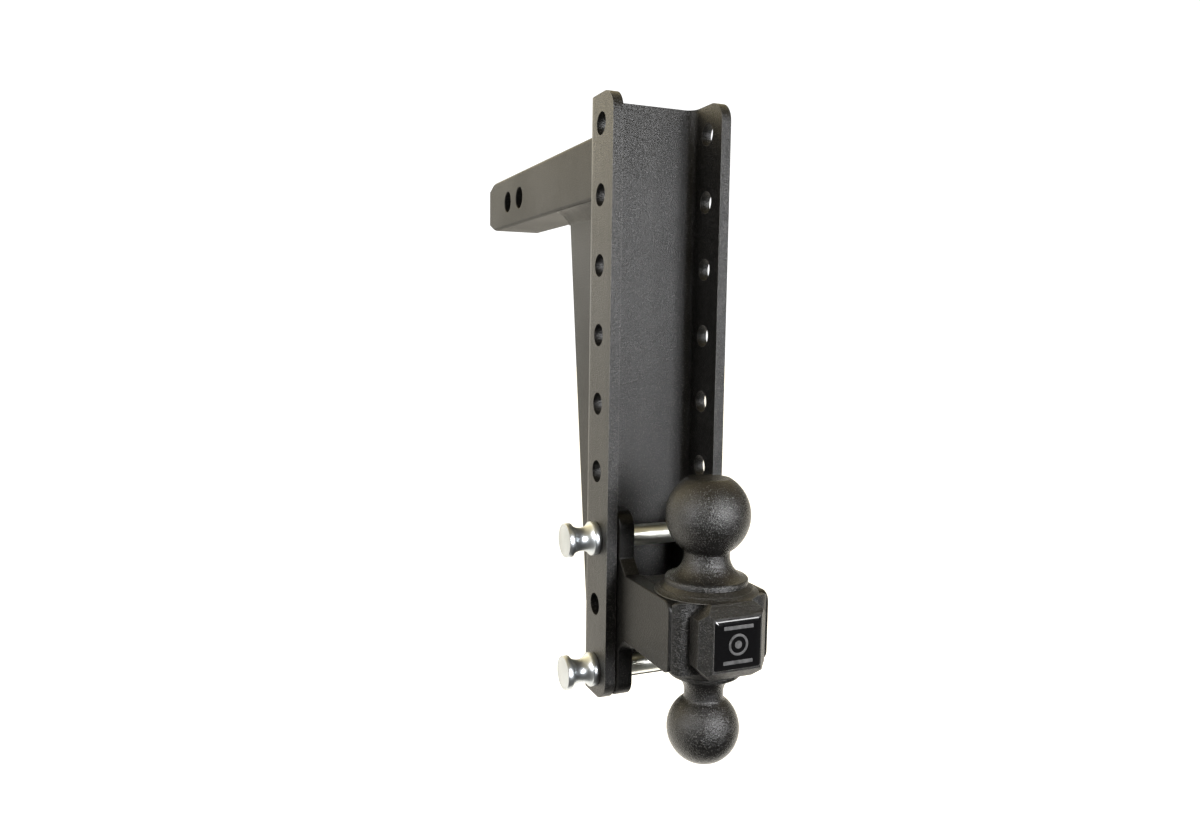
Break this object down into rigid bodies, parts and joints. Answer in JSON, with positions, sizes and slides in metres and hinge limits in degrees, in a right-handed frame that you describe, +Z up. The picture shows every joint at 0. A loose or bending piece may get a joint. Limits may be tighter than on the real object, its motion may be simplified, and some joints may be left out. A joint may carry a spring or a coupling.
{
  "type": "adjustable drop trailer hitch with double ball mount",
  "caption": "Black steel drop hitch: square shank with gusset, upright drilled channel, and a pinned block with a larger ball above and a smaller ball below.",
  "frame": {"origin": "centre of the receiver pin hole nearer the shank's free end, at the shank's mid-width and mid-height", "axes": "+X along the receiver pin hole, to the right as seen from the balls; +Y along the shank towards the vehicle; +Z up, along the channel"},
  "size_m": [0.1391, 0.4962, 0.4673],
  "materials": {
    "powder_coat": "fine textured black powder coat on plate and bar",
    "weld_coat": "the same black powder coat over rippled weld beads",
    "forging_coat": "black powder coat over rough forged steel",
    "ball_coat": "sparkling textured black powder coat",
    "badge_black": "gloss black badge with rounded edges",
    "badge_grey": "satin grey raised sign",
    "stainless": "turned and polished stainless steel",
    "spring_wire": "bright zinc-plated spring wire"
  },
  "bodies": {
    "weldment": {"channel": "powder_coat", "shank": "powder_coat", "shank_weld": "weld_coat", "gusset": "powder_coat", "gusset_welds": "weld_coat"},
    "ball_mount": {"ball_block": "forging_coat", "left_cheek_plate": "powder_coat", "right_cheek_plate": "powder_coat", "cheek_welds": "weld_coat", "upper_ball": "ball_coat", "lower_ball": "ball_coat", "ball_welds": "weld_coat", "badge_plate": "badge_black", "badge_emblem": "badge_grey"},
    "upper_pull_pin": {"upper_pin": "stainless", "upper_pin_knob": "stainless"},
    "lower_pull_pin": {"lower_pin": "stainless", "lower_pin_knob": "stainless"},
    "upper_spring_clip": {"upper_clip": "spring_wire"},
    "lower_spring_clip": {"lower_clip": "spring_wire"}
  },
  "joints": [
    {"name": "height_adjust", "type": "slide", "parent": "weldment", "child": "ball_mount", "axis": [0, 0, 1], "range_m": [0, 0.3048]},
    {"name": "upper_pin_pull", "type": "slide", "parent": "ball_mount", "child": "upper_pull_pin", "axis": [-1, 0, 0], "range_m": [0, 0.12]},
    {"name": "lower_pin_pull", "type": "slide", "parent": "ball_mount", "child": "lower_pull_pin", "axis": [-1, 0, 0], "range_m": [0, 0.12]},
    {"name": "upper_clip_pull", "type": "slide", "parent": "ball_mount", "child": "upper_spring_clip", "axis": [0, 0, 1], "range_m": [0, 0.045], "deforming": ["upper_clip"]},
    {"name": "lower_clip_pull", "type": "slide", "parent": "ball_mount", "child": "lower_spring_clip", "axis": [0, 0, 1], "range_m": [0, 0.045], "deforming": ["lower_clip"]}
  ]
}
